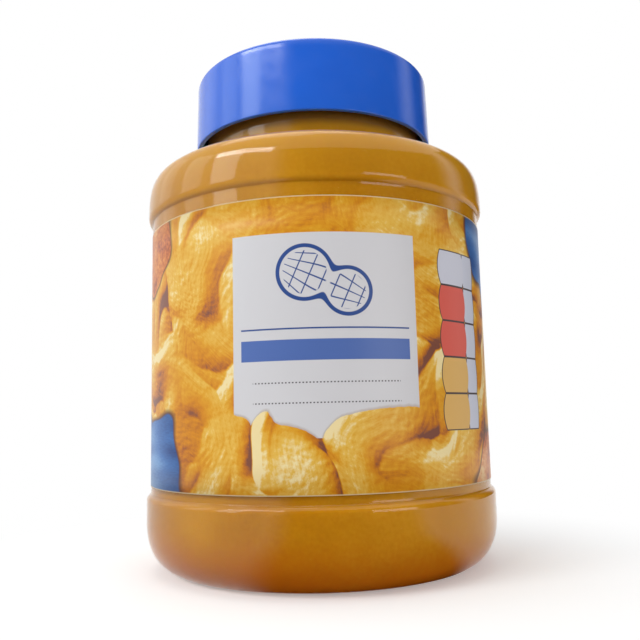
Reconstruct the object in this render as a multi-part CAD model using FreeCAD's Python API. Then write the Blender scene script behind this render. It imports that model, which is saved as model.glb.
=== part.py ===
"""Peanut butter jar: a clear blow-moulded jar with a recessed belt, its filling, a wrap label and a screw lid.

Everything is a turned shape about the Z axis. The origin is the centre of the ring that the jar stands on,
+Z runs up through the lid, and the front of the label faces -Y. Millimetres throughout.
"""

import FreeCAD, Part

import math
import os

from FreeCAD import Vector

# ---------------------------------------------------------------- driving dimensions

# Jar body, from the standing ring up.
belt_radius = 50.0           # outside of the recessed belt that carries the label
belt_height = 78.35          # straight part of the belt, between the two steps
step_depth = 1.2             # how far the body bulges out beyond the belt, above and below it
step_height = 2.2            # height over which each step turns from bulge to belt
step_hollow = 0.25           # share of that height for which a step runs upright at its belt end
step_crown = 0.75            # the same at its bulge end
foot_wall_height = 6.15      # straight wall of the lower bulge
heel_height = 13.7           # height of the rounded heel under that wall
heel_reach = 11.5            # how far the heel curves inward from the wall
heel_fullness = 0.62         # 0.55 is an ellipse, more is squarer
standing_ring_width = 2.0    # flat ring that touches the table
push_up_height = 5.0         # how high the middle of the base is pushed in
push_up_fullness = 0.5       # how far the push-up's curve runs level at each end
shoulder_wall_height = 0.95  # straight wall of the upper bulge
shoulder_height = 12.3       # rise of the rounded shoulder above that wall
shoulder_side_fullness = 1.0
shoulder_top_fullness = 0.77
body_wall = 0.9              # wall of the blown part

# Neck and its screw thread.
neck_radius = 33.6           # outside of the neck between the threads
neck_wall = 1.6              # the neck is moulded, not blown, so it is thicker than the body
neck_fillet = 3.0            # hollow between shoulder and neck
neck_height = 25.95          # from the fillet's top edge to the rim
rim_edge = 0.4               # rounding of the rim's two edges
thread_pitch = 4.2
thread_height = 1.2          # how far the jar's thread stands out from the neck
thread_root_width = 2.0      # width of a thread where it leaves its wall
thread_crest_width = 0.9     # width of a thread at its crest
thread_turns = 1.5
thread_below_rim = 4.0       # from the rim to the top end of the jar's thread
thread_overlap = 0.3         # how deep a thread is rooted in its wall

# Lid.
thread_clearance = 0.5       # from each thread's crest to the wall that it faces
thread_flank_gap = 0.25      # between the two threads' flanks, along the axis
lid_top_thickness = 1.5
lid_skirt_depth = 19.8       # from the rim down to the skirt's lower edge
lid_skirt_wall = 1.5         # at the skirt's lower edge
lid_draft = 0.5              # how much narrower the lid's outside is at its top
lid_edge_radius = 1.5        # rounding of the lid's top edge
lid_lip_radius = 0.35        # rounding of the skirt's lower edge
lid_border = 4.0             # raised border round the top's shallow recess
lid_recess_depth = 0.5
lid_recess_radius = 0.4      # rounding of the recess's two edges
lid_inner_radius = 0.8       # rounding inside, between skirt and top

# Filling and label.
headspace = 12.0             # free space between the filling and the rim
label_gap_below = 1.95       # bare belt left below the label
label_gap_above = 3.65       # bare belt left above it
label_thickness = 0.12

CIRCLE_FULLNESS = 0.5523     # share of the way to the corner that makes a curve nearly circular

# ---------------------------------------------------------------- worked out from these

body_radius = belt_radius + step_depth
heel_inner_radius = body_radius - heel_reach
ring_inner_radius = heel_inner_radius - standing_ring_width
foot_wall_top = heel_height + foot_wall_height
belt_bottom = foot_wall_top + step_height
belt_top = belt_bottom + belt_height
shoulder_wall_bottom = belt_top + step_height
shoulder_start = shoulder_wall_bottom + shoulder_wall_height
shoulder_top = shoulder_start + shoulder_height
neck_start = shoulder_top + neck_fillet
rim_height = neck_start + neck_height
neck_bore_radius = neck_radius - neck_wall

lid_bore_radius = neck_radius + thread_height + thread_clearance
lid_mouth_radius = lid_bore_radius + lid_skirt_wall
lid_top_radius = lid_mouth_radius - lid_draft
lid_bottom = rim_height - lid_skirt_depth
lid_top = rim_height + lid_top_thickness

jar_thread_bottom = rim_height - thread_below_rim - thread_pitch * thread_turns
flank_slope = (thread_root_width - thread_crest_width) / 2 / (thread_height + thread_overlap)
thread_engagement = thread_height - thread_clearance
meeting_width = thread_crest_width + flank_slope * thread_engagement
lid_thread_bottom = jar_thread_bottom - meeting_width - thread_flank_gap

fill_level = rim_height - headspace
label_bottom = belt_bottom + label_gap_below
label_top = belt_top - label_gap_above

# ---------------------------------------------------------------- outline helpers
# An outline lies in the XZ plane as (radius, height) points and is turned about Z.


def at(radius, height):
    return Vector(radius, 0, height)


def straight(start, end):
    return Part.LineSegment(start, end).toShape()


def bezier(poles):
    curve = Part.BezierCurve()
    curve.setPoles(poles)
    return curve.toShape()


def bend(start, corner, end, start_fullness=CIRCLE_FULLNESS, end_fullness=CIRCLE_FULLNESS):
    """A curve from start to end that leaves and arrives along the two sides of a corner."""
    leaving = start + (corner - start) * start_fullness
    arriving = end + (corner - end) * end_fullness
    return bezier([start, leaving, arriving, end])


def step(belt_end, bulge_end):
    """An S-curve from belt to bulge, upright at both ends, with a tight hollow and a broad crown."""
    rise = Vector(0, 0, bulge_end.z - belt_end.z)
    return bezier([belt_end, belt_end + rise * step_hollow, bulge_end - rise * step_crown, bulge_end])


def rounded_outline(points, radii):
    """Closed outline through points, with each corner rounded by its radius."""
    edges = []
    count = len(points)
    entries = []
    exits = []
    arcs = []
    for index in range(count):
        corner = points[index]
        before = (points[index - 1] - corner).normalize()
        after = (points[(index + 1) % count] - corner).normalize()
        radius = radii[index]
        if radius == 0:
            entries.append(corner)
            exits.append(corner)
            arcs.append(None)
            continue
        half_angle = before.getAngle(after) / 2
        entry = corner + before * (radius / math.tan(half_angle))
        leave = corner + after * (radius / math.tan(half_angle))
        bisector = (before + after).normalize()
        middle = corner + bisector * (radius / math.sin(half_angle) - radius)
        entries.append(entry)
        exits.append(leave)
        arcs.append(Part.Arc(entry, middle, leave).toShape())
    for index in range(count):
        if arcs[index] is not None:
            edges.append(arcs[index])
        following = (index + 1) % count
        edges.append(straight(exits[index], entries[following]))
    return edges


def turned(edges):
    """Solid made by turning a closed outline about Z."""
    wire = Part.Wire(Part.__sortEdges__(edges))
    solid = Part.Face(wire).revolve(Vector(0, 0, 0), Vector(0, 0, 1), 360)
    return Part.Solid(solid) if solid.ShapeType != "Solid" else solid


# ---------------------------------------------------------------- jar


def body_outline(inset):
    """The body's outline from the middle of its base to the foot of its neck.

    An inset of 0 gives the outside, and an inset of the wall gives the inside.
    """
    middle = at(0, push_up_height + inset)
    ring_inner = at(ring_inner_radius, inset)
    ring_outer = at(heel_inner_radius, inset)
    heel_top = at(body_radius - inset, heel_height)
    foot_top = at(body_radius - inset, foot_wall_top)
    belt_foot = at(belt_radius - inset, belt_bottom)
    belt_head = at(belt_radius - inset, belt_top)
    wall_foot = at(body_radius - inset, shoulder_wall_bottom)
    wall_top = at(body_radius - inset, shoulder_start)
    neck_foot = at(neck_radius + neck_fillet, shoulder_top - inset)

    level_run = at(ring_inner_radius * push_up_fullness, 0)
    push_up = bezier([middle, middle + level_run, ring_inner - level_run, ring_inner])
    heel_corner = at(body_radius - inset, inset)
    shoulder_corner = at(body_radius - inset, shoulder_top - inset)
    return [
        push_up,
        straight(ring_inner, ring_outer),
        bend(ring_outer, heel_corner, heel_top, heel_fullness, heel_fullness),
        straight(heel_top, foot_top),
        step(belt_foot, foot_top),
        straight(belt_foot, belt_head),
        step(belt_head, wall_foot),
        straight(wall_foot, wall_top),
        bend(wall_top, shoulder_corner, neck_foot, shoulder_side_fullness, shoulder_top_fullness),
    ]


def neck_foot_bend(inset, radius):
    """The hollow between the shoulder and an upright wall of this radius."""
    start = at(neck_radius + neck_fillet, shoulder_top - inset)
    corner = at(radius, shoulder_top - inset)
    end = at(radius, neck_start)
    return bend(start, corner, end)


def screw_thread(wall_radius, outward, bottom):
    """A right-handed thread on a wall, its middle starting at height bottom.

    Outward is 1 for a thread on the outside of its wall and -1 for one on the inside.
    """
    root_radius = wall_radius - outward * thread_overlap
    crest_radius = wall_radius + outward * thread_height
    half_root = thread_root_width / 2
    half_crest = thread_crest_width / 2
    corners = [
        at(root_radius, bottom - half_root),
        at(crest_radius, bottom - half_crest),
        at(crest_radius, bottom + half_crest),
        at(root_radius, bottom + half_root),
    ]
    section = Part.makePolygon(corners + corners[:1])
    helix = Part.makeHelix(thread_pitch, thread_pitch * thread_turns, wall_radius)
    helix.translate(Vector(0, 0, bottom))
    return Part.Wire(helix).makePipeShell([section], True, True)


def make_jar():
    rim_outer = at(neck_radius, rim_height)
    rim_inner = at(neck_bore_radius, rim_height)
    down = Vector(0, 0, -rim_edge)
    inward = Vector(-rim_edge, 0, 0)
    rim = [
        straight(at(neck_radius, neck_start), rim_outer + down),
        bend(rim_outer + down, rim_outer, rim_outer + inward),
        straight(rim_outer + inward, rim_inner - inward),
        bend(rim_inner - inward, rim_inner, rim_inner + down),
        straight(rim_inner + down, at(neck_bore_radius, neck_start)),
    ]
    outside = body_outline(0) + [neck_foot_bend(0, neck_radius)]
    inside = body_outline(body_wall) + [neck_foot_bend(body_wall, neck_bore_radius)]
    on_axis = straight(at(0, push_up_height), at(0, push_up_height + body_wall))
    shell = turned(outside + rim + inside + [on_axis])
    return shell.fuse(screw_thread(neck_radius, 1, jar_thread_bottom))


# ---------------------------------------------------------------- filling, label and lid


def make_filling():
    """Fills the jar, against its wall all over, up to a level surface inside the neck."""
    surface_edge = at(neck_bore_radius, fill_level)
    outline = body_outline(body_wall) + [neck_foot_bend(body_wall, neck_bore_radius)]
    outline += [
        straight(at(neck_bore_radius, neck_start), surface_edge),
        straight(surface_edge, at(0, fill_level)),
        straight(at(0, fill_level), at(0, push_up_height + body_wall)),
    ]
    return turned(outline)


def make_label():
    """A thin band wrapped once round the belt."""
    outer = Part.makeCylinder(belt_radius + label_thickness, label_top - label_bottom, at(0, label_bottom))
    inner = Part.makeCylinder(belt_radius, label_top - label_bottom, at(0, label_bottom))
    return outer.cut(inner)


def make_lid():
    """A cap whose top sits on the rim and whose skirt covers the thread."""
    recess_radius = lid_top_radius - lid_border
    recess_floor = lid_top - lid_recess_depth
    points = [
        at(0, rim_height),
        at(lid_bore_radius, rim_height),
        at(lid_bore_radius, lid_bottom),
        at(lid_mouth_radius, lid_bottom),
        at(lid_top_radius, lid_top),
        at(recess_radius, lid_top),
        at(recess_radius - lid_recess_depth, recess_floor),
        at(0, recess_floor),
    ]
    radii = [
        0,
        lid_inner_radius,
        lid_lip_radius,
        lid_lip_radius,
        lid_edge_radius,
        lid_recess_radius,
        lid_recess_radius,
        0,
    ]
    shell = turned(rounded_outline(points, radii))
    return shell.fuse(screw_thread(lid_bore_radius, -1, lid_thread_bottom))


# ---------------------------------------------------------------- export


def export(node, shape):
    """Writes a piece's one closed solid."""
    (solid,) = shape.removeSplitter().Solids
    print(node, "valid", solid.isValid(), "volume cm3", round(solid.Volume / 1000, 2))
    solid.exportStep("parts/" + node + ".step")


os.makedirs("parts", exist_ok=True)
export("jar", make_jar())
export("peanut_butter", make_filling())
export("label", make_label())
export("lid", make_lid())
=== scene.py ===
# %% [markdown]
# # A jar of smooth peanut butter
#
# The real jar is four things: a clear blown shell, the paste inside it, a printed label wrapped round the
# belt, and a screw lid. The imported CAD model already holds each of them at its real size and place. This
# lesson turns smooth skins for the same four shapes, gives each its own finish, and lights them plainly.

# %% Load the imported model
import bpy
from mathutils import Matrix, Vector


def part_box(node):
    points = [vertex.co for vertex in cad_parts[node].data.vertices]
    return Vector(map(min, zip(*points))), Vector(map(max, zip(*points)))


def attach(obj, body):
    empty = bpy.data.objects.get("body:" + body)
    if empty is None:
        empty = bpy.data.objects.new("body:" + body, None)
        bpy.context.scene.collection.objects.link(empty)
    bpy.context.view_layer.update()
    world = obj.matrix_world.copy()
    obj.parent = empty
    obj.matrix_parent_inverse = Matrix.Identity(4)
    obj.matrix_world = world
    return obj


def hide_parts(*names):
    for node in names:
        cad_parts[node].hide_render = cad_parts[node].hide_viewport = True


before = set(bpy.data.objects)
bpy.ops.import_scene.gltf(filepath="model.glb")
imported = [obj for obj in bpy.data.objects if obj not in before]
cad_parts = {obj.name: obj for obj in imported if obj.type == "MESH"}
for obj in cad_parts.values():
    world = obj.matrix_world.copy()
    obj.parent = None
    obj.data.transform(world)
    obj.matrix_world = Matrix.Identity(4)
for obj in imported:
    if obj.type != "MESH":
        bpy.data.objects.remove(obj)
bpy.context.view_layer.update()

# %% Modules
import math

import bmesh
import bpy
from mathutils import Matrix, Vector
from mathutils.geometry import interpolate_bezier

# %% [markdown]
# ## Sizes
#
# A new piece has to meet the CAD piece it stands for, so its main sizes are read from the CAD boxes. The
# roundings between them are the moulder's own: a bulging foot and shoulder, a recessed belt, a hollow neck.
# One millimetre is written once and the rest are multiples of it, as on a drawing.

# %% Sizes read from the CAD pieces
MM = 0.001
jar_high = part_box("jar")[1]
lid_low, lid_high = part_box("lid")
label_low, label_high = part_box("label")
paste_low, paste_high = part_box("peanut_butter")

body_radius = jar_high.x
rim_height = jar_high.z
wall = paste_low.z
fill_level = paste_high.z
label_bottom, label_top = label_low.z, label_high.z
lid_bottom, lid_top = lid_low.z, lid_high.z
lid_mouth_radius = lid_high.x
print("body radius", round(body_radius / MM, 2), "mm, rim at", round(rim_height / MM, 2), "mm")

# %% Sizes of the roundings
step_depth = 1.2 * MM
step_height = 2.2 * MM
step_hollow, step_crown = 0.25, 0.75
label_gap_below = 1.95 * MM
label_gap_above = 3.65 * MM
heel_height = 13.7 * MM
heel_reach = 11.5 * MM
heel_fullness = 0.62
standing_ring_width = 2.0 * MM
push_up_height = 5.0 * MM
shoulder_wall_height = 0.95 * MM
shoulder_height = 12.3 * MM
shoulder_fullness, shoulder_top_fullness = 1.0, 0.77
neck_radius = 33.6 * MM
neck_wall = 1.6 * MM
neck_fillet = 3.0 * MM
rim_edge = 0.4 * MM

belt_radius = body_radius - step_depth
belt_bottom = label_bottom - label_gap_below
belt_top = label_top + label_gap_above
shoulder_start = belt_top + step_height + shoulder_wall_height
shoulder_top = shoulder_start + shoulder_height
neck_start = shoulder_top + neck_fillet
print("shoulder top at", round(shoulder_top / MM, 2), "mm")

# %% [markdown]
# ## Outlines
#
# Every piece here is turned about the upright axis, like a pot on a wheel. The shape is one outline of
# points at (radius, height), and the spin operator carries it round. Points bunch up towards the end of a
# straight run, so that smooth shading turns only at the rounding and leaves the flat wall flat.

# %% Outline helpers
CIRCLE_FULLNESS = 0.5523  # at this fullness a curved corner is a quarter circle


def at(radius, height):
    return Vector((radius, 0, height))


def straight(start, end, parts=6):
    """Points after start, up to end, closest together near both ends."""
    shares = [0.5 - 0.5 * math.cos(math.pi * part / parts) for part in range(1, parts + 1)]
    return [start.lerp(end, share) for share in shares]


def bend(start, corner, end, start_fullness=CIRCLE_FULLNESS, end_fullness=CIRCLE_FULLNESS, parts=10):
    """Points after start, along a curve that leaves and arrives along the two sides of a corner."""
    leaving = start + (corner - start) * start_fullness
    arriving = end + (corner - end) * end_fullness
    return interpolate_bezier(start, leaving, arriving, end, parts + 1)[1:]


def step(belt_end, bulge_end, parts=14):
    """Points along an S-curve from belt to bulge, with a tight hollow and a broad crown."""
    rise = Vector((0, 0, bulge_end.z - belt_end.z))
    leaving = belt_end + rise * step_hollow
    arriving = bulge_end - rise * step_crown
    return interpolate_bezier(belt_end, leaving, arriving, bulge_end, parts + 1)


# %% The spin that turns an outline into a piece
TURN_STEPS = 192


def finish_mesh(name, bm, material):
    """Makes a smooth-shaded object that rides with the jar."""
    mesh = bpy.data.meshes.new(name)
    bm.to_mesh(mesh)
    bm.free()
    mesh.shade_smooth()
    mesh.materials.append(material)
    piece = bpy.data.objects.new(name, mesh)
    bpy.context.scene.collection.objects.link(piece)
    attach(piece, "root")
    print(name, len(mesh.vertices), "vertices", len(mesh.polygons), "faces")
    return piece


def turned(outline):
    """A bmesh of the outline spun once round the upright axis."""
    bm = bmesh.new()
    points = [bm.verts.new(point) for point in outline]
    edges = [bm.edges.new(pair) for pair in zip(points, points[1:])]
    bmesh.ops.spin(
        bm,
        geom=points + edges,
        cent=(0, 0, 0),
        axis=(0, 0, 1),
        dvec=(0, 0, 0),
        angle=math.tau,
        steps=TURN_STEPS,
        use_merge=True,
        use_normal_flip=False,
        use_duplicate=False,
    )
    bmesh.ops.remove_doubles(bm, verts=bm.verts, dist=0.001 * MM)
    bmesh.ops.recalc_face_normals(bm, faces=bm.faces)
    return bm


# %% [markdown]
# ## Small helpers for materials
#
# A finish is a tree of nodes. Written out one line at a time, a tree soon hides its own idea, so short
# helpers add a node, join two sockets, do one step of arithmetic, blend two colours, or turn a value into a
# colour or a soft edge.

# %% Node helpers


def new_material(name):
    """A new material, its tree of nodes and the shader in it."""
    material = bpy.data.materials.new(name)
    material.use_nodes = True
    tree = material.node_tree
    shader = tree.nodes["Principled BSDF"]
    return material, tree, shader


def set_input(tree, socket, value):
    """Links a socket, or writes a plain value."""
    if isinstance(value, bpy.types.NodeSocket):
        tree.links.new(value, socket)
    else:
        socket.default_value = value


def add(tree, kind, inputs=None, **settings):
    """A new node with its settings, and its inputs by name or number."""
    node = tree.nodes.new(kind)
    for key, value in settings.items():
        setattr(node, key, value)
    for key, value in (inputs or {}).items():
        set_input(tree, node.inputs[key], value)
    return node


def maths(tree, operation, *values):
    """One step of arithmetic on plain values or sockets."""
    node = add(tree, "ShaderNodeMath", operation=operation)
    for index, value in enumerate(values):
        set_input(tree, node.inputs[index], value)
    return node.outputs[0]


def blend_colour(tree, share, below, above):
    """The colour below where the share is 0, and the one above where it is 1."""
    # Set to colour, a Mix node takes its two colours at inputs 6 and 7, and gives the result at output 2.
    node = add(tree, "ShaderNodeMix", data_type="RGBA")
    set_input(tree, node.inputs[0], share)
    set_input(tree, node.inputs[6], below)
    set_input(tree, node.inputs[7], above)
    return node.outputs[2]


def ramp(tree, share, stops):
    """A colour ramp through (place, colour) stops."""
    node = add(tree, "ShaderNodeValToRGB")
    set_input(tree, node.inputs[0], share)
    elements = node.color_ramp.elements
    while len(elements) < len(stops):
        elements.new(0.5)
    for element, (place, colour) in zip(elements, stops):
        element.position = place
        element.color = (*colour, 1)
    return node.outputs[0]


def edge(tree, value, low, high):
    """Rises smoothly from 0 to 1 as a value goes from low to high."""
    node = add(tree, "ShaderNodeMapRange", {0: value, 1: low, 2: high}, interpolation_type="SMOOTHSTEP")
    return node.outputs[0]


def object_place(tree):
    """Place on the piece, in metres."""
    return add(tree, "ShaderNodeTexCoord").outputs["Object"]


# %% [markdown]
# ## Clear plastic
#
# The shell is blown from a clear bottle plastic, and a principled shader with full transmission bends light
# as it does. The real plastic bends light a little more than window glass. A lower value is set here, so that
# the wall mirrors less of the white room. Lamps can't find their way through bent light in a few samples, so
# for shadow rays alone the wall is simply transparent, and the paste behind it is lit plainly.

# %% Clear plastic material
PLASTIC_IOR = 1.42
PLASTIC_ROUGHNESS = 0.09
WALL_TINT = (1, 0.985, 0.95, 1)
SHADOW_TINT = (0.96, 0.95, 0.92, 1)
wobble_depth = 0.4 * MM
parting_line_depth = 0.06 * MM


def wall_bump(tree, place):
    """The slight waviness of a blown wall, and the fine line where the two halves of its mould met."""
    wobble = add(tree, "ShaderNodeTexNoise", {"Vector": place, "Scale": 38.0, "Detail": 1.0}).outputs["Fac"]
    wavy = add(tree, "ShaderNodeBump", {"Height": wobble, "Strength": 0.12, "Distance": wobble_depth})
    depth = add(tree, "ShaderNodeSeparateXYZ", {0: place}).outputs[1]
    line = edge(tree, maths(tree, "ABSOLUTE", depth), 0.30 * MM, 0.05 * MM)
    parted = add(tree, "ShaderNodeBump", {"Height": line, "Distance": parting_line_depth})
    set_input(tree, parted.inputs["Normal"], wavy.outputs[0])
    return parted.outputs[0]


def clear_plastic():
    material, tree, shader = new_material("clear_plastic")
    shader.inputs["Base Color"].default_value = WALL_TINT
    shader.inputs["Transmission Weight"].default_value = 1
    shader.inputs["IOR"].default_value = PLASTIC_IOR
    shader.inputs["Roughness"].default_value = PLASTIC_ROUGHNESS
    set_input(tree, shader.inputs["Normal"], wall_bump(tree, object_place(tree)))
    open_wall = add(tree, "ShaderNodeBsdfTransparent", {"Color": SHADOW_TINT})
    path = add(tree, "ShaderNodeLightPath")
    mix = add(tree, "ShaderNodeMixShader", {0: path.outputs["Is Shadow Ray"]})
    set_input(tree, mix.inputs[1], shader.outputs[0])
    set_input(tree, mix.inputs[2], open_wall.outputs[0])
    set_input(tree, tree.nodes["Material Output"].inputs["Surface"], mix.outputs[0])
    return material


# %% [markdown]
# ## The jar's shell
#
# From the middle of the base the outline runs down a pushed-in dome to the ring that the jar stands on,
# round the heel, up over a step into the belt, back out at the shoulder, and in to the neck. The inside is
# the same outline drawn one wall further in. Both meet at the rim, so the shell is one closed skin. A solid
# body hollowed out by a boolean would give the same shape, but its faces would be ragged where the two meet,
# and clear plastic shows that. The thread is left out, because the shut lid hides it.

# %% Outline of the body


def body_outline(inset):
    """The body from the middle of its base to the foot of its neck, drawn this far inside the outer skin."""
    ring_outer_radius = body_radius - heel_reach
    ring_inner_radius = ring_outer_radius - standing_ring_width
    outer = body_radius - inset
    middle = at(0, push_up_height + inset)
    ring_inner = at(ring_inner_radius, inset)
    ring_outer = at(ring_outer_radius, inset)
    heel_top = at(outer, heel_height)
    foot_top = at(outer, belt_bottom - step_height)
    belt_foot = at(belt_radius - inset, belt_bottom)
    belt_head = at(belt_radius - inset, belt_top)
    wall_foot = at(outer, belt_top + step_height)
    wall_top = at(outer, shoulder_start)
    neck_foot = at(neck_radius + neck_fillet, shoulder_top - inset)
    level_run = at(ring_inner_radius / 2, 0)
    outline = [middle]
    outline += interpolate_bezier(middle, middle + level_run, ring_inner - level_run, ring_inner, 19)[1:]
    outline += straight(ring_inner, ring_outer, 4)
    outline += bend(ring_outer, at(outer, inset), heel_top, heel_fullness, heel_fullness, 24)
    outline += straight(heel_top, foot_top)
    outline += step(belt_foot, foot_top)[::-1][1:]
    outline += straight(belt_foot, belt_head, 14)
    outline += step(belt_head, wall_foot)[1:]
    outline += straight(wall_foot, wall_top, 5)
    shoulder_corner = at(outer, shoulder_top - inset)
    outline += bend(wall_top, shoulder_corner, neck_foot, shoulder_fullness, shoulder_top_fullness, 30)
    return outline


def neck_outline(inset, radius, top):
    """The hollow at the foot of the neck, and its wall up to a height."""
    start = at(neck_radius + neck_fillet, shoulder_top - inset)
    foot = at(radius, neck_start)
    return bend(start, at(radius, shoulder_top - inset), foot) + straight(foot, at(radius, top), 8)


# %% Spin the shell
bore_radius = neck_radius - neck_wall
gate_radius, gate_depth, gate_lip = 2.2 * MM, 0.5 * MM, 0.1 * MM
gate_level = push_up_height - gate_depth
gate_side = at(gate_radius, push_up_height - gate_lip)
gate_mark = [at(0, gate_level), at(gate_radius * 0.9, gate_level)]
gate_mark += bend(gate_mark[-1], at(gate_radius, gate_level), gate_side, parts=4)
outside = gate_mark + body_outline(0)[1:] + neck_outline(0, neck_radius, rim_height - rim_edge)
inside = body_outline(wall) + neck_outline(wall, bore_radius, rim_height - rim_edge)
rim = bend(outside[-1], at(neck_radius, rim_height), at(neck_radius - rim_edge, rim_height), parts=5)
rim += straight(rim[-1], at(bore_radius + rim_edge, rim_height), 3)
rim += bend(rim[-1], at(bore_radius, rim_height), inside[-1], parts=5)[:-1]
shell = finish_mesh("jar_shell", turned(outside + rim + inside[::-1]), clear_plastic())
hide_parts("jar")

# %% [markdown]
# ## The paste
#
# Smooth peanut butter is a thick, oily, golden-brown paste. Light goes a few millimetres into it and comes
# out warmer, which subsurface scattering gives. Its skin reaches a little into the plastic wall: two skins at
# one place would flicker, and a gap would show as a film of air. Light and shade are painted into its colour
# by height: a painted shade makes it darker and redder at the foot, a painted light makes it paler at the
# shoulder, and a painted shade darkens it close under the lid, where little light gets in. Soft even lamps
# leave that narrow gap too bright, so this last shade is in the colour.

# %% Paste material
into_wall = 0.15 * MM
# Heights over which the painted shade at the foot and the painted light at the shoulder fade in.
foot_shade_start, foot_shade_end = 24 * MM, 8 * MM
shoulder_light_start, shoulder_light_end = 95 * MM, 118 * MM
shade_start = lid_bottom - 3.2 * MM
shade_end = lid_bottom - 0.6 * MM
PASTE_TONES = [
    (0.40, (0.37, 0.148, 0.002)),
    (0.60, (0.45, 0.195, 0.004)),
    (0.80, (0.53, 0.255, 0.012)),
]
# Colours of the painted shade at the foot, the painted light at the shoulder and the painted shade under the
# lid.
FOOT_SHADE_PASTE = (0.42, 0.11, 0.002, 1)
SHOULDER_LIGHT_PASTE = (0.50, 0.275, 0.02, 1)
SHADED_PASTE = (0.10, 0.045, 0.020, 1)


def paste_colour(tree, place):
    """Cloudy golden brown, with painted shade at the foot, painted light at the shoulder and painted shade
    under the lid.
    """
    cloudy = add(tree, "ShaderNodeTexNoise", {"Vector": place, "Scale": 22.0, "Detail": 3.0})
    cloudy.inputs["Roughness"].default_value = 0.55
    grain = add(tree, "ShaderNodeTexNoise", {"Vector": place, "Scale": 900.0, "Detail": 2.0})
    share = maths(tree, "MULTIPLY_ADD", grain.outputs["Fac"], 0.22, cloudy.outputs["Fac"])
    colour = ramp(tree, share, PASTE_TONES)
    height = add(tree, "ShaderNodeSeparateXYZ", {0: place}).outputs[2]
    cloudy_height = maths(tree, "MULTIPLY_ADD", share, 12 * MM, height)
    # Painted shade: darker and redder towards the foot. Painted light: paler towards the shoulder.
    foot_shade = edge(tree, cloudy_height, foot_shade_start, foot_shade_end)
    colour = blend_colour(tree, foot_shade, colour, FOOT_SHADE_PASTE)
    shoulder_light = maths(tree, "MULTIPLY", edge(tree, height, shoulder_light_start, shoulder_light_end), 0.6)
    colour = blend_colour(tree, shoulder_light, colour, SHOULDER_LIGHT_PASTE)
    # Painted shade close under the lid.
    under_lid = maths(tree, "MULTIPLY", edge(tree, height, shade_start, shade_end), 0.65)
    return blend_colour(tree, under_lid, colour, SHADED_PASTE)


def paste_finish():
    material, tree, shader = new_material("peanut_butter")
    set_input(tree, shader.inputs["Base Color"], paste_colour(tree, object_place(tree)))
    shader.inputs["Roughness"].default_value = 0.5
    shader.inputs["Specular IOR Level"].default_value = 0.03
    shader.inputs["Subsurface Weight"].default_value = 0.25
    shader.inputs["Subsurface Radius"].default_value = (1.0, 0.5, 0.2)
    shader.inputs["Subsurface Scale"].default_value = 2.0 * MM
    return material


# %% Spin the paste
paste_bore = bore_radius + into_wall
paste_outline = body_outline(wall - into_wall) + neck_outline(wall - into_wall, paste_bore, fill_level)
paste_outline += straight(paste_outline[-1], at(0, fill_level), 6)
paste = finish_mesh("paste", turned(paste_outline), paste_finish())
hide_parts("peanut_butter")

# %% [markdown]
# ## The lid
#
# The lid is moulded from a deep blue, glossy plastic. Its skirt is smooth and leans in very slightly so
# that it leaves its mould, its top edge is rounded, and a shallow round recess lets another jar stack on it.
# A bevel modifier would round every edge alike. Here the outline's corners are rounded one by one, each by its
# own radius, and then spun.

# %% Lid material
LID_TONES = [(0.3, (0.014, 0.112, 0.63)), (0.7, (0.022, 0.140, 0.72))]
LID_GLOSS = [(0.35, (0.14, 0.14, 0.14)), (0.75, (0.24, 0.24, 0.24))]
flow_depth = 0.3 * MM


def lid_plastic():
    material, tree, shader = new_material("lid_plastic")
    place = object_place(tree)
    flow = add(tree, "ShaderNodeTexNoise", {"Vector": place, "Scale": 30.0, "Detail": 2.0}).outputs["Fac"]
    set_input(tree, shader.inputs["Base Color"], ramp(tree, flow, LID_TONES))
    scuffs = add(tree, "ShaderNodeTexNoise", {"Vector": place, "Scale": 260.0, "Detail": 3.0}).outputs["Fac"]
    set_input(tree, shader.inputs["Roughness"], ramp(tree, scuffs, LID_GLOSS))
    bump = add(tree, "ShaderNodeBump", {"Height": flow, "Strength": 0.15, "Distance": flow_depth})
    set_input(tree, shader.inputs["Normal"], bump.outputs[0])
    return material


# %% Spin the lid
lid_draft = 0.5 * MM
lid_wall = 1.5 * MM
lid_edge = 1.5 * MM
lip_edge = 0.35 * MM
lid_border = 4.0 * MM
recess_depth = 0.5 * MM
recess_edge = 0.4 * MM
inner_edge = 0.8 * MM
pip_radius, pip_height, pip_edge = 1.6 * MM, 0.2 * MM, 0.12 * MM

lid_top_radius = lid_mouth_radius - lid_draft
lid_bore = lid_mouth_radius - lid_wall
recess_radius = lid_top_radius - lid_border


def rounded(points, radii, parts=8):
    """Points along straight runs between corners, each corner rounded by its radius."""
    outline = [points[0]]
    for before, corner, after, radius in zip(points, points[1:], points[2:], radii):
        to_before = (before - corner).normalized()
        to_after = (after - corner).normalized()
        reach = radius / math.tan(to_before.angle(to_after) / 2)
        entry = corner + to_before * reach
        leave = corner + to_after * reach
        outline += straight(outline[-1], entry)
        outline += bend(entry, corner, leave, parts=parts)
    return outline + straight(outline[-1], points[-1])


lid_points = [
    at(0, rim_height),
    at(lid_bore, rim_height),
    at(lid_bore, lid_bottom),
    at(lid_mouth_radius, lid_bottom),
    at(lid_top_radius, lid_top),
    at(recess_radius, lid_top),
    at(recess_radius - recess_depth, lid_top - recess_depth),
    at(pip_radius + pip_height, lid_top - recess_depth),
    at(pip_radius, lid_top - recess_depth + pip_height),
    at(0, lid_top - recess_depth + pip_height),
]
lid_radii = [inner_edge, lip_edge, lip_edge, lid_edge, recess_edge, recess_edge, pip_edge, pip_edge]
lid = finish_mesh("lid_cap", turned(rounded(lid_points, lid_radii)), lid_plastic())
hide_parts("lid")

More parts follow.
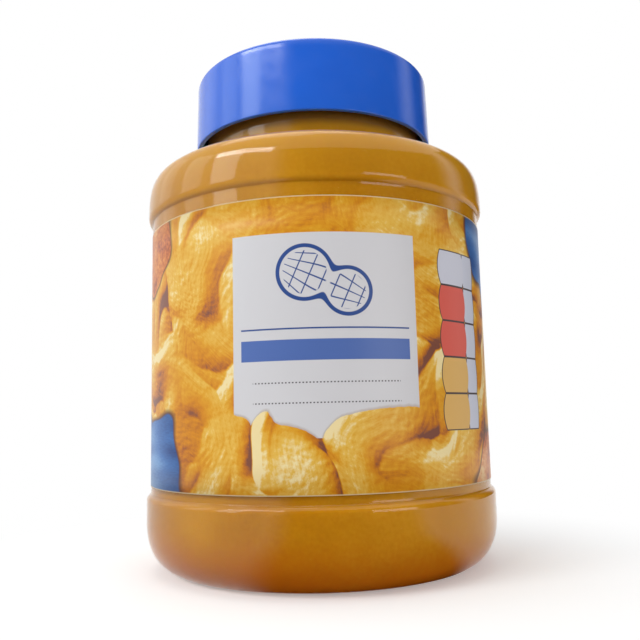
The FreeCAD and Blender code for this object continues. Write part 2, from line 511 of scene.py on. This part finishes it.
# %% [markdown]
# ## The label
#
# A strip of varnished film goes once round the belt and overlaps itself at the back. It starts as a flat
# grid, which the operator also gives its flat coordinates, and is then wrapped: the run along the strip
# becomes an angle. A spun band would be simpler, but it has no ends to overlap. The flat coordinates stay
# with the strip, so the print can be laid out on a flat sheet.

# %% Wrap the label
label_overlap = 7.0 * MM
label_film = 0.12 * MM
lift_run = 2 * MM
label_columns, label_rows = 240, 8
label_height = label_top - label_bottom
label_length = math.tau * belt_radius + label_overlap


def wrapped_strip():
    """The flat strip wrapped once round the belt, with its last stretch lifted over its first."""
    bm = bmesh.new()
    bm.loops.layers.uv.new("flat_sheet")
    bmesh.ops.create_grid(bm, x_segments=label_columns, y_segments=label_rows, size=0.5, calc_uvs=True)
    for vertex in bm.verts:
        along = vertex.co.x + 0.5
        angle = -math.pi / 2 + (along - 0.5) * label_length / belt_radius
        past_overlap = along * label_length - (label_length - label_overlap)
        lift = label_film * min(1, max(0, past_overlap / lift_run + 1))
        radius = belt_radius + lift
        height = label_bottom + (vertex.co.y + 0.5) * label_height
        vertex.co = (radius * math.cos(angle), radius * math.sin(angle), height)
    bmesh.ops.recalc_face_normals(bm, faces=bm.faces)
    return bm


strip = wrapped_strip()
print("strip", len(strip.verts), "vertices")

# %% [markdown]
# ## The print on the label
#
# The print is a close view of whipped spread with a plain panel set into it. It could be painted as a
# picture, but shapes worked out by nodes stay sharp at any distance and need no file beside this one.
# Everything is laid out in millimetres on the flat sheet, from the middle of the front: x runs to the right
# and y runs up. First come a few helpers that make, move and cut places on that sheet.

# %% Shapes on the sheet


def vector_of(tree, x, y):
    return add(tree, "ShaderNodeCombineXYZ", {0: x, 1: y}).outputs[0]


def smooth_noise(tree, place, scale, detail=2.0, roughness=0.5):
    node = add(tree, "ShaderNodeTexNoise", {"Vector": place, "Scale": scale, "Detail": detail})
    node.inputs["Roughness"].default_value = roughness
    return node


def moved(tree, place, offset):
    return add(tree, "ShaderNodeVectorMath", {0: place, 1: offset}, operation="ADD").outputs[0]


def length_of(tree, place):
    return add(tree, "ShaderNodeVectorMath", {0: place}, operation="LENGTH").outputs["Value"]


def turned_place(tree, place, angle, scale=(1, 1, 1)):
    node = add(tree, "ShaderNodeMapping", {"Vector": place, "Rotation": (0, 0, angle), "Scale": scale})
    return node.outputs[0]


def away_from(tree, value, middle):
    """Distance from a value to a middle."""
    return maths(tree, "ABSOLUTE", maths(tree, "SUBTRACT", value, middle))


def inside_box(tree, x, y, centre, half, soft=0.06):
    """1 inside a rectangle and 0 outside it."""
    out_x = maths(tree, "SUBTRACT", away_from(tree, x, centre[0]), half[0])
    out_y = maths(tree, "SUBTRACT", away_from(tree, y, centre[1]), half[1])
    return edge(tree, maths(tree, "MAXIMUM", out_x, out_y), soft, -soft)


def painted_box(tree, x, y, colour, centre, half, paint):
    """The colour so far, with a rectangle of one paint over it."""
    return blend_colour(tree, inside_box(tree, x, y, centre, half), colour, paint)


# %% [markdown]
# ### Whipped folds
#
# A spatula leaves long rounded ridges with sharp creases between them. The size of a sine has just that
# shape: round on top and pointed at its zeros. Three lanes of such ridges run across the sheet at different
# angles, bent by a slow noise, and the highest one shows at each place. Fine strokes run along each lane.

# %% Height of the folds
FOLD_LANES = ((0.55, 23.0, 0.0), (-0.95, 30.0, 40.0), (1.75, 37.0, 90.0))
FOLD_DRIFT = 58.0
FOLD_MEANDER = 2.4
FOLD_ROUNDNESS = 0.62
FOLD_MELT = 0.06
STROKE_DEPTH = 0.085
LUMP_DEPTH = 0.07


def drifted(tree, place):
    """The place, pulled about by a slow noise."""
    drift = smooth_noise(tree, place, 0.022, 1.5).outputs["Color"]
    drift = add(tree, "ShaderNodeVectorMath", {0: drift, 1: (0.5, 0.5, 0.5)}, operation="SUBTRACT").outputs[0]
    drift = add(tree, "ShaderNodeVectorMath", {0: drift}, operation="SCALE")
    drift.inputs["Scale"].default_value = FOLD_DRIFT
    return add(tree, "ShaderNodeVectorMath", {0: place, 1: drift.outputs[0]}, operation="ADD").outputs[0]


def fold_lane(tree, place, bent, angle, width, start):
    """Height of one lane of ridges that run at an angle, each as wide as given."""
    lane = turned_place(tree, moved(tree, bent, (start, start * 0.7, 0)), angle)
    across = add(tree, "ShaderNodeSeparateXYZ", {0: lane}).outputs[0]
    meander = smooth_noise(tree, moved(tree, lane, (start, 0, start)), 0.03, 1.0).outputs["Fac"]
    phase = maths(tree, "MULTIPLY_ADD", meander, FOLD_MEANDER, maths(tree, "DIVIDE", across, width))
    fold = maths(tree, "ABSOLUTE", maths(tree, "SINE", maths(tree, "MULTIPLY", phase, math.pi)))
    fold = maths(tree, "POWER", fold, FOLD_ROUNDNESS)
    presence = smooth_noise(tree, moved(tree, place, (start * 3, -start, 0)), 0.018, 0.0).outputs["Fac"]
    fold = maths(tree, "MULTIPLY", fold, maths(tree, "MULTIPLY_ADD", presence, 1.7, -0.05))
    along_lane = turned_place(tree, lane, 0, (0.75, 0.05, 1))
    strokes = smooth_noise(tree, along_lane, 1.0, 3.0, 0.6).outputs["Fac"]
    return maths(tree, "MULTIPLY_ADD", strokes, STROKE_DEPTH, fold)


def whipped_height(tree, place):
    """Height of the whipped spread, in about 0 to 1.5."""
    bent = drifted(tree, place)
    folds = [fold_lane(tree, place, bent, *lane) for lane in FOLD_LANES]
    height = folds[0]
    for fold in folds[1:]:
        height = add(tree, "ShaderNodeMath", {0: height, 1: fold, 2: FOLD_MELT}, operation="SMOOTH_MAX")
        height = height.outputs[0]
    lumps = smooth_noise(tree, place, 0.5, 3.0, 0.65).outputs["Fac"]
    return maths(tree, "MULTIPLY_ADD", lumps, LUMP_DEPTH, height)


# %% [markdown]
# ### Light and shade on the folds
#
# The print is flat, so its light and shade are ink. The height at a place, less the height a small step
# towards the upper left, says whether the place faces that side. That slope and the height itself make one
# tone, and a ramp turns the tone into brown creases, golden sides and cream crests.

# %% Colour of the folds
LIGHT_STEP = (-0.55, 0.75, 0)
SLOPE_GAIN = 4.3
HEIGHT_GAIN = 0.44
BROAD_GAIN = 0.7
BASE_TONE = 0.18
SPREAD_TONES = [
    (0.06, (0.21, 0.070, 0.042)),
    (0.24, (0.49, 0.145, 0.014)),
    (0.42, (0.66, 0.245, 0.006)),
    (0.58, (0.73, 0.340, 0.016)),
    (0.76, (0.80, 0.490, 0.080)),
    (0.90, (0.89, 0.720, 0.370)),
]


def whipped_colour(tree, place):
    """Golden spread lit from the upper left, and its height."""
    here = whipped_height(tree, place)
    lit_side = whipped_height(tree, moved(tree, place, LIGHT_STEP))
    slope = maths(tree, "SUBTRACT", here, lit_side)
    tone = maths(tree, "MULTIPLY_ADD", slope, SLOPE_GAIN, BASE_TONE)
    tone = maths(tree, "MULTIPLY_ADD", here, HEIGHT_GAIN, tone)
    broad = smooth_noise(tree, moved(tree, place, (300, 0, 0)), 0.03, 2.0).outputs["Fac"]
    tone = maths(tree, "MULTIPLY_ADD", maths(tree, "SUBTRACT", broad, 0.5), BROAD_GAIN, tone)
    return ramp(tree, tone, SPREAD_TONES), here


# %% [markdown]
# ### Cloth and crumb beyond the spread
#
# Where the folds end, a rumpled blue cloth or a toasted crumb shows behind them. Each patch is a circle
# whose rim a slow noise pulls in and out, so that no patch has a plain round edge. A dark line lies along
# the rim, as a thick spread throws on what it lies on.

# %% Cloth and crumb
CLOTH, CRUMB = "cloth", "crumb"
PATCHES = (
    (CLOTH, (-60.0, -33.0), 17.0),
    (CLOTH, (64.0, 31.0), 16.0),
    (CRUMB, (-66.0, 34.0), 18.0),
    (CRUMB, (63.0, -38.0), 15.0),
    (CLOTH, (-150.0, 28.0), 26.0),
    (CRUMB, (140.0, -33.0), 22.0),
)
PATCH_RAGGEDNESS = 30.0
RIM_BROWN = (0.10, 0.03, 0.012, 1)
CLOTH_TONES = [(0.36, (0.012, 0.045, 0.19)), (0.60, (0.045, 0.16, 0.44)), (0.78, (0.15, 0.33, 0.62))]
CRUMB_TONES = [
    (0.52, (0.16, 0.03, 0.012)),
    (0.68, (0.50, 0.12, 0.025)),
    (0.84, (0.70, 0.25, 0.05)),
    (1.0, (0.82, 0.52, 0.22)),
]


def cloth_colour(tree, place):
    """Blue cloth with broad rumples and a fine weave."""
    rumple = smooth_noise(tree, turned_place(tree, place, 0.7, (0.035, 0.11, 1)), 1.0, 1.0).outputs["Fac"]
    weave = smooth_noise(tree, turned_place(tree, place, 0.7, (0.5, 2.2, 1)), 1.0, 1.0).outputs["Fac"]
    return ramp(tree, maths(tree, "MULTIPLY_ADD", weave, 0.16, rumple), CLOTH_TONES)


def crumb_colour(tree, place):
    """Toasted crumb with small pores."""
    pores = smooth_noise(tree, place, 0.9, 3.0, 0.6).outputs["Fac"]
    toasted = smooth_noise(tree, place, 0.11, 2.0).outputs["Fac"]
    return ramp(tree, maths(tree, "MULTIPLY_ADD", pores, 0.55, toasted), CRUMB_TONES)


def with_patches(tree, sheet, colour):
    """The colour so far, with each patch over it."""
    fills = {CLOTH: cloth_colour(tree, sheet), CRUMB: crumb_colour(tree, sheet)}
    ragged = smooth_noise(tree, moved(tree, sheet, (37.0, 61.0, 0)), 0.05, 1.2, 0.4).outputs["Fac"]
    for fill, centre, reach in PATCHES:
        away = length_of(tree, moved(tree, sheet, (-centre[0], -centre[1], 0)))
        away = maths(tree, "MULTIPLY_ADD", ragged, PATCH_RAGGEDNESS, away)
        away = maths(tree, "SUBTRACT", away, reach + PATCH_RAGGEDNESS / 2)
        colour = blend_colour(tree, edge(tree, away, 2.4, -0.2), colour, RIM_BROWN)
        colour = blend_colour(tree, edge(tree, away, 0.3, -0.5), colour, fills[fill])
    return colour


# %% [markdown]
# ### The pod
#
# The panel's mark is a peanut pod in one navy line. Two circles melted together by a smooth minimum give a
# distance to the pod's outline, the line is where that distance is near zero, and a net of ribs and rings
# fills the inside. A smooth minimum makes the waist by itself, which two plain circles would not.

# %% Pod
NAVY = (0.03, 0.075, 0.27, 1)
POD_BIG, POD_SMALL = (4.3, 5.2), (-4.7, 4.5)
POD_MELT = 3.2
POD_SCALE = 0.78


def pod_outline(tree, place):
    """Distance to the pod's outline, below 0 inside it."""
    lobes = []
    for offset, radius in (POD_BIG, POD_SMALL):
        lobes.append(maths(tree, "SUBTRACT", length_of(tree, moved(tree, place, (offset, 0, 0))), radius))
    joined = add(tree, "ShaderNodeMath", {0: lobes[0], 1: lobes[1], 2: POD_MELT}, operation="SMOOTH_MIN")
    return joined.outputs[0]


def pod_mark(tree, x, y, centre, turn):
    """A peanut pod drawn as a line with a net of lines inside it, in 0 to 1."""
    place = moved(tree, vector_of(tree, x, y), (-centre[0], -centre[1], 0))
    place = turned_place(tree, place, turn, (POD_SCALE, POD_SCALE, 1))
    apart = add(tree, "ShaderNodeSeparateXYZ", {0: place})
    along, across = apart.outputs[0], apart.outputs[1]
    outline = pod_outline(tree, place)
    line = edge(tree, maths(tree, "ABSOLUTE", outline), 0.44, 0.32)
    bow = maths(tree, "MULTIPLY", maths(tree, "MULTIPLY", along, along), 0.012)
    rib = maths(tree, "PINGPONG", maths(tree, "MULTIPLY", across, maths(tree, "ADD", bow, 0.9)), 1.1)
    ring = maths(tree, "PINGPONG", maths(tree, "ADD", along, 0.6), 1.35)
    net = maths(tree, "MAXIMUM", edge(tree, rib, 0.20, 0.08), edge(tree, ring, 0.18, 0.06))
    net = maths(tree, "MULTIPLY", net, edge(tree, outline, -0.9, -1.1))
    return maths(tree, "MAXIMUM", line, net)


# %% [markdown]
# ### The front panel
#
# A white panel is tucked behind a wave of spread, so the picture seems to lie in front of it. The folds' own
# height moves the panel's lower edge: a high fold covers more of it. A thin shade lies on the panel along
# that edge. On the panel are the pod, a rule, a bare blue band and two dotted rules.

# %% Front panel
PANEL_WHITE = (0.66, 0.645, 0.665, 1)
BAND_BLUE = (0.085, 0.155, 0.43, 1)
RULE_GREY = (0.09, 0.08, 0.09, 1)
PANEL_SHADE = (0.35, 0.24, 0.16, 1)
DOTTED_RULES = (-9.75, -14.6)


def wave_edge(tree, x, y, height):
    """Distance up from the wave of spread that covers the panel's foot."""
    crest = maths(tree, "MULTIPLY_ADD", height, -9.0, 8.0)
    lower_edge = maths(tree, "ADD", maths(tree, "ADD", y, 18.6), crest)
    hollow = maths(tree, "MULTIPLY", maths(tree, "COSINE", maths(tree, "MULTIPLY", x, 0.12)), 1.6)
    return maths(tree, "ADD", lower_edge, hollow)


def with_front_panel(tree, x, y, colour, height):
    """The colour so far, with the front panel and its marks over it."""
    lower_edge = wave_edge(tree, x, y, height)
    panel = inside_box(tree, x, y, (0, 2.0), (23.6, 25.0))
    panel = maths(tree, "MULTIPLY", panel, edge(tree, lower_edge, -0.15, 0.15))
    shade = maths(tree, "MULTIPLY", panel, edge(tree, lower_edge, 1.1, 0.0))
    colour = blend_colour(tree, panel, colour, PANEL_WHITE)
    colour = blend_colour(tree, maths(tree, "MULTIPLY", shade, 0.45), colour, PANEL_SHADE)
    colour = painted_box(tree, x, y, colour, (0, -1.9), (21.4, 2.55), BAND_BLUE)
    dots = edge(tree, maths(tree, "PINGPONG", x, 0.42), 0.24, 0.16)
    for rule_height in DOTTED_RULES:
        rule = inside_box(tree, x, y, (0, rule_height), (18.4, 0.16))
        colour = blend_colour(tree, maths(tree, "MULTIPLY", rule, dots), colour, RULE_GREY)
    colour = blend_colour(tree, pod_mark(tree, x, y, (0, 14.8), 0.42), colour, NAVY)
    return painted_box(tree, x, y, colour, (0, 3.3), (21.4, 0.2), NAVY)


# %% [markdown]
# ### The column of fields
#
# To the right of the panel stand five pairs of fields, one above the other, with bulging sides. A field is a
# box whose half width shrinks with the square of the height from its middle. One loop draws all five pairs,
# so their pitch and their outline are each written once.

# %% Column of fields
FIELD_LILAC = (0.62, 0.62, 0.70, 1)
FIELD_RED = (0.70, 0.115, 0.085, 1)
FIELD_AMBER = (0.72, 0.43, 0.13, 1)
FIELD_PALE = (0.60, 0.61, 0.70, 1)
FIELD_LINE = (0.07, 0.05, 0.05, 1)
FIELD_COLOURS = (FIELD_LILAC, FIELD_RED, FIELD_RED, FIELD_AMBER, FIELD_AMBER)
FIELD_TOP, FIELD_PITCH = 20.1, 9.4


def lozenge(tree, x, y, centre, half, bulge_depth):
    """Distance to a box whose left and right sides bulge outward, below 0 inside it."""
    dy = maths(tree, "DIVIDE", maths(tree, "SUBTRACT", y, centre[1]), half[1])
    bulge = maths(tree, "MULTIPLY", maths(tree, "MULTIPLY", dy, dy), bulge_depth)
    out_x = maths(tree, "ADD", away_from(tree, x, centre[0]), bulge)
    out_x = maths(tree, "SUBTRACT", out_x, half[0])
    out_y = maths(tree, "SUBTRACT", away_from(tree, y, centre[1]), half[1])
    return maths(tree, "MAXIMUM", out_x, out_y)


def with_column(tree, x, y, colour):
    """The colour so far, with the column of paired fields over it."""
    for row, field in enumerate(FIELD_COLOURS):
        middle = FIELD_TOP - row * FIELD_PITCH
        left = lozenge(tree, x, y, (37.8, middle), (5.9, 4.45), 1.0)
        right = lozenge(tree, x, y, (46.2, middle), (3.3, 4.45), 0.5)
        both = maths(tree, "MINIMUM", left, right)
        colour = blend_colour(tree, edge(tree, both, 0.34, 0.24), colour, FIELD_LINE)
        colour = blend_colour(tree, edge(tree, right, 0.05, -0.05), colour, FIELD_PALE)
        colour = blend_colour(tree, edge(tree, left, 0.05, -0.05), colour, field)
    return colour


# %% [markdown]
# ### The back of the label
#
# The back carries what such a label always carries, left blank: a ruled table, a note panel and a block of
# bars. Ping-pong arithmetic repeats one rule at a fixed pitch. The bars are thin columns, each black or
# white by a noise that has one value to a column, so they follow no real code.

# %% Back of the label
TABLE_MIDDLE, NOTE_MIDDLE, BARS_MIDDLE = 110, -108, -116
TABLE_LINE = (0.12, 0.13, 0.17, 1)
BARS_WHITE = (0.72, 0.72, 0.73, 1)
BARS_BLACK = (0.012, 0.012, 0.016, 1)
BAR_WIDTH = 0.36


def with_table(tree, x, y, colour):
    """The colour so far, with the ruled table over it."""
    colour = painted_box(tree, x, y, colour, (TABLE_MIDDLE, 1.0), (26, 31), PANEL_WHITE)
    colour = painted_box(tree, x, y, colour, (TABLE_MIDDLE, 27.5), (24.4, 2.9), BAND_BLUE)
    line = edge(tree, maths(tree, "PINGPONG", y, 2.45), 0.16, 0.08)
    ruled = maths(tree, "MULTIPLY", line, inside_box(tree, x, y, (TABLE_MIDDLE, -2.5), (24.4, 25.6)))
    column = inside_box(tree, x, y, (TABLE_MIDDLE + 6, -2.5), (0.1, 25.6))
    return blend_colour(tree, maths(tree, "MAXIMUM", ruled, column), colour, TABLE_LINE)


def with_note_and_bars(tree, x, y, colour):
    """The colour so far, with the note panel and the block of bars over it."""
    colour = painted_box(tree, x, y, colour, (NOTE_MIDDLE, 10.0), (25, 22), PANEL_WHITE)
    colour = painted_box(tree, x, y, colour, (NOTE_MIDDLE, 27.4), (23.4, 3.0), BAND_BLUE)
    colour = painted_box(tree, x, y, colour, (BARS_MIDDLE, -24.0), (17, 9.4), BARS_WHITE)
    bar_number = vector_of(tree, maths(tree, "FLOOR", maths(tree, "DIVIDE", x, BAR_WIDTH)), 0)
    bar = add(tree, "ShaderNodeTexWhiteNoise", {0: bar_number}, noise_dimensions="2D").outputs["Value"]
    bar = maths(tree, "GREATER_THAN", bar, 0.5)
    bars = maths(tree, "MULTIPLY", bar, inside_box(tree, x, y, (BARS_MIDDLE, -24.0), (14.6, 7.0)))
    return blend_colour(tree, bars, colour, BARS_BLACK)


# %% [markdown]
# ### The whole print
#
# The layers go on in the order of a real layout: the picture, what lies behind it, the panel, the column and
# the back. The film's cut edges stay unprinted. Varnished film is smoother than paper but far from glass,
# and a very faint bump keeps its gloss from looking like a screen.

# %% Label material
BARE_FILM = (0.76, 0.60, 0.36, 1)
bare_start = label_height / MM / 2 - 0.32
bare_end = label_height / MM / 2 - 0.18


def sheet_place(tree):
    """Place on the flat sheet, in millimetres from the middle of the front."""
    uv = add(tree, "ShaderNodeUVMap", uv_map="flat_sheet").outputs[0]
    size = Vector((label_length / MM, label_height / MM, 1))
    to_middle = (-size.x / 2, -size.y / 2, 0)
    return add(tree, "ShaderNodeMapping", {"Vector": uv, "Location": to_middle, "Scale": size}).outputs[0]


def label_print():
    material, tree, shader = new_material("label_print")
    sheet = sheet_place(tree)
    apart = add(tree, "ShaderNodeSeparateXYZ", {0: sheet})
    x, y = apart.outputs[0], apart.outputs[1]
    colour, height = whipped_colour(tree, sheet)
    colour = with_patches(tree, sheet, colour)
    colour = with_front_panel(tree, x, y, colour, height)
    colour = with_column(tree, x, y, colour)
    colour = with_table(tree, x, y, colour)
    colour = with_note_and_bars(tree, x, y, colour)
    bare_edge = edge(tree, maths(tree, "ABSOLUTE", y), bare_start, bare_end)
    colour = blend_colour(tree, bare_edge, colour, BARE_FILM)
    set_input(tree, shader.inputs["Base Color"], colour)
    shader.inputs["Roughness"].default_value = 0.34
    shader.inputs["Specular IOR Level"].default_value = 0.28
    fibre = smooth_noise(tree, sheet, 0.12, 2.0).outputs["Fac"]
    bump = add(tree, "ShaderNodeBump", {"Height": fibre, "Strength": 0.2, "Distance": 0.15 * MM})
    set_input(tree, shader.inputs["Normal"], bump.outputs[0])
    print("label print", len(tree.nodes), "nodes")
    return material


# %% Print the label
bmesh.ops.solidify(strip, geom=strip.faces[:] + strip.edges[:] + strip.verts[:], thickness=-label_film)
label = finish_mesh("label_wrap", strip, label_print())
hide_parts("label")

# %% [markdown]
# ## Floor
#
# The jar stands on white paper. Lit paper alone comes out grey, and more lamps would wash out the jar. So the
# paper adds a little light of its own, only to rays that come from the camera, a mirror or through clear
# plastic. Near the jar it still takes the soft shadow, and further out it blends into the white background.
# The paper lies a hair below the standing ring, because two faces at one height would flicker.

# %% Floor
FLOOR_WHITE = (0.93, 0.93, 0.93, 1)
FLOOR_LIFT = 0.28
FLOOR_RADIUS = 3.0
floor_level = -0.02 * MM
white_start, white_end = 50 * MM, 135 * MM


def seen_directly(tree):
    """1 for rays that see a thing itself, in a mirror or through clear plastic, and 0 for its light."""
    path = add(tree, "ShaderNodeLightPath")
    seen = maths(tree, "MAXIMUM", path.outputs["Is Camera Ray"], path.outputs["Is Glossy Ray"])
    return maths(tree, "MAXIMUM", seen, path.outputs["Is Transmission Ray"])


def floor_finish():
    material, tree, shader = new_material("floor_paper")
    shader.inputs["Base Color"].default_value = FLOOR_WHITE
    shader.inputs["Roughness"].default_value = 1.0
    shader.inputs["Specular IOR Level"].default_value = 0.0
    seen = seen_directly(tree)
    lift_strength = maths(tree, "MULTIPLY", seen, FLOOR_LIFT)
    lift = add(tree, "ShaderNodeEmission", {"Color": (1, 1, 1, 1), "Strength": lift_strength})
    near = add(tree, "ShaderNodeAddShader", {0: shader.outputs[0], 1: lift.outputs[0]})
    white = add(tree, "ShaderNodeEmission", {"Color": (1, 1, 1, 1), "Strength": 1.0})
    far = edge(tree, length_of(tree, object_place(tree)), white_start, white_end)
    mix = add(tree, "ShaderNodeMixShader", {0: maths(tree, "MULTIPLY", far, seen)})
    set_input(tree, mix.inputs[1], near.outputs[0])
    set_input(tree, mix.inputs[2], white.outputs[0])
    set_input(tree, tree.nodes["Material Output"].inputs["Surface"], mix.outputs[0])
    return material


def stage_piece(name, bm, material):
    """An object of the studio, which is no part of the jar."""
    mesh = bpy.data.meshes.new(name)
    bm.to_mesh(mesh)
    bm.free()
    mesh.materials.append(material)
    piece = bpy.data.objects.new(name, mesh)
    bpy.context.scene.collection.objects.link(piece)
    return piece


floor_bm = bmesh.new()
bmesh.ops.create_circle(floor_bm, cap_ends=True, segments=64, radius=FLOOR_RADIUS)
bmesh.ops.translate(floor_bm, vec=(0, 0, floor_level), verts=floor_bm.verts)
stage_piece("floor", floor_bm, floor_finish())
print("floor is white beyond", round(white_end / MM), "mm")

# %% [markdown]
# ## Background
#
# The background is white to the eye and in mirrors. As a light it is set much lower, so that it fills the
# shadows and doesn't flatten the jar.

# %% World
WORLD_LIGHT = 0.44

world = bpy.data.worlds.new("studio")
bpy.context.scene.world = world
world.use_nodes = True
sky = world.node_tree
background = sky.nodes["Background"]
level = add(sky, "ShaderNodeMapRange", {0: seen_directly(sky), 3: WORLD_LIGHT, 4: 1.0}).outputs[0]
set_input(sky, background.inputs["Strength"], level)
background.inputs["Color"].default_value = (1, 1, 1, 1)
print("world lights at", WORLD_LIGHT)

# %% [markdown]
# ## Lamps
#
# A tall window stands at the left: three panes side by side, each dimmer than the one in front of it, so the
# lid and the shoulder mirror soft upright bands. A long strip above it draws a line along the shoulder. A low
# box at the front right lifts the shaded side, and one overhead lights the lid's top. All of them face the
# middle of the jar, and their size keeps the shadows soft.

# %% Lamps
DAYLIGHT = (0.86, 0.96, 1.0)
WINDOW_PANES = ((-62, 1.2), (-88, 0.42), (-118, 0.14))
window_distance, window_height = 0.75, 0.40
pane_width, pane_height = 0.24, 0.5
aim = Vector((0, 0, 0.07))


def soft_box(name, place, width, height, power, colour=(1, 1, 1)):
    """A rectangular lamp that faces the middle of the jar."""
    lamp = bpy.data.lights.new(name, "AREA")
    lamp.shape = "RECTANGLE"
    lamp.size = width
    lamp.size_y = height
    lamp.energy = power
    lamp.color = colour
    holder = bpy.data.objects.new(name, lamp)
    bpy.context.scene.collection.objects.link(holder)
    holder.location = place
    holder.rotation_euler = (aim - Vector(place)).to_track_quat("-Z", "Y").to_euler()
    print(name, power, "W")


def on_circle(bearing, distance, height):
    """A place at a bearing from the front, positive towards the right."""
    return distance * math.sin(bearing), distance * -math.cos(bearing), height


for pane, (bearing, power) in enumerate(WINDOW_PANES):
    pane_place = on_circle(math.radians(bearing), window_distance, window_height)
    soft_box("window_" + str(pane), pane_place, pane_width, pane_height, power, DAYLIGHT)
soft_box("strip", (-0.48, -0.375, 0.58), 0.50, 0.10, 1.5)
soft_box("fill", (0.55, -0.62, 0.12), 0.42, 0.36, 1.45)
soft_box("top", (-0.1, 0.1, 0.8), 0.5, 0.5, 1.1)

# %% [markdown]
# ## Dark cards
#
# Clear plastic and a glossy lid show little but what they mirror, and in an all-white room they look milky.
# So three dark cards stand round the jar, as in a studio: one on the floor in front, one from behind the
# camera round to the right, and one further round. Only mirrors see them. The gap between the last two draws
# one soft bright band at the right of the lid and the foot. Each card thins out towards its upright sides,
# because a hard side would show in the plastic as a line.

# %% Card finish
CARD_FADE = math.radians(16)
CARD_BLACK = (0.02, 0.018, 0.016, 1)


def card_finish(name, first_bearing, last_bearing):
    """Dull dark card that thins out to nothing towards its two upright sides."""
    material, tree, shader = new_material(name)
    shader.inputs["Base Color"].default_value = CARD_BLACK
    shader.inputs["Roughness"].default_value = 1.0
    shader.inputs["Specular IOR Level"].default_value = 0.0
    apart = add(tree, "ShaderNodeSeparateXYZ", {0: object_place(tree)})
    bearing = maths(tree, "ARCTAN2", apart.outputs[0], maths(tree, "MULTIPLY", apart.outputs[1], -1.0))
    half_width = (last_bearing - first_bearing) / 2
    off_middle = away_from(tree, bearing, (first_bearing + last_bearing) / 2)
    clear = add(tree, "ShaderNodeBsdfTransparent")
    mix = add(tree, "ShaderNodeMixShader", {0: edge(tree, off_middle, half_width, half_width - CARD_FADE)})
    set_input(tree, mix.inputs[1], clear.outputs[0])
    set_input(tree, mix.inputs[2], shader.outputs[0])
    set_input(tree, tree.nodes["Material Output"].inputs["Surface"], mix.outputs[0])
    return material


# %% Dark cards
CARD_STEPS = 16
card_distance = 0.9


def dark_card(name, bearings, near, far, low, high):
    """A curved card from near radius and low height to far radius and high height, seen only in mirrors."""
    first_bearing, last_bearing = [math.radians(bearing) for bearing in bearings]
    bm = bmesh.new()
    foot = bm.verts.new(on_circle(first_bearing, near, low))
    head = bm.verts.new(on_circle(first_bearing, far, high))
    bmesh.ops.spin(
        bm,
        geom=[foot, head, bm.edges.new((foot, head))],
        cent=(0, 0, 0),
        axis=(0, 0, 1),
        dvec=(0, 0, 0),
        angle=last_bearing - first_bearing,
        steps=CARD_STEPS,
        use_merge=False,
        use_normal_flip=False,
        use_duplicate=False,
    )
    card = stage_piece(name, bm, card_finish(name, first_bearing, last_bearing))
    card.visible_camera = False
    card.visible_diffuse = False
    card.visible_transmission = False
    card.visible_shadow = False
    print(name, "from", bearings[0], "to", bearings[1], "degrees")


dark_card("floor_card", (-32, 58), 42 * MM, card_distance, 1 * MM, 1 * MM)
dark_card("front_card", (-32, 100), card_distance, card_distance, 0.0, 0.75)
dark_card("right_card", (101, 150), card_distance, card_distance, 0.0, 0.9)

# %% [markdown]
# ## Camera
#
# The camera is close and low, looking slightly up, so the lid stands tall over the shoulder and the label's
# upright edges lean together. Its place is given before a small turn round the upright axis, which brings the
# label's middle to where it faces. From the direction it looks in, two cross products give its right and its
# up, and a small roll tips both.

# %% Camera
camera_height = 42.25 * MM
camera_distance = 222.1 * MM
camera_azimuth = -0.0435
camera_yaw = 0.0038
camera_pitch = 0.1344
camera_roll = -0.0242
focal_length = 40.47
sensor_width = 36.0

camera = bpy.data.objects.new("camera", bpy.data.cameras.new("camera"))
bpy.context.scene.collection.objects.link(camera)
camera.data.lens = focal_length
camera.data.sensor_width = sensor_width
camera.data.clip_start = 0.01
place = Vector((0, -camera_distance, camera_height))
level_reach = math.cos(camera_pitch)
forward = Vector((0, 0, math.sin(camera_pitch)))
forward.x = math.sin(camera_yaw) * level_reach
forward.y = math.cos(camera_yaw) * level_reach
right = forward.cross(Vector((0, 0, 1))).normalized()
up = right.cross(forward)
rolled_right = math.cos(camera_roll) * right + math.sin(camera_roll) * up
rolled_up = -math.sin(camera_roll) * right + math.cos(camera_roll) * up
turn = Matrix((rolled_right, rolled_up, -forward)).transposed().to_4x4()
camera.matrix_world = Matrix.Rotation(camera_azimuth, 4, "Z") @ Matrix.Translation(place) @ turn
bpy.context.scene.camera = camera
print("camera at", [round(value / MM, 1) for value in camera.matrix_world.translation], "mm")

# %% [markdown]
# ## Finish
#
# The standard view shows each colour about as it was written. The skins have to stay inside the model they
# stand for.

# %% Finish
bpy.context.scene.view_settings.view_transform = "Standard"
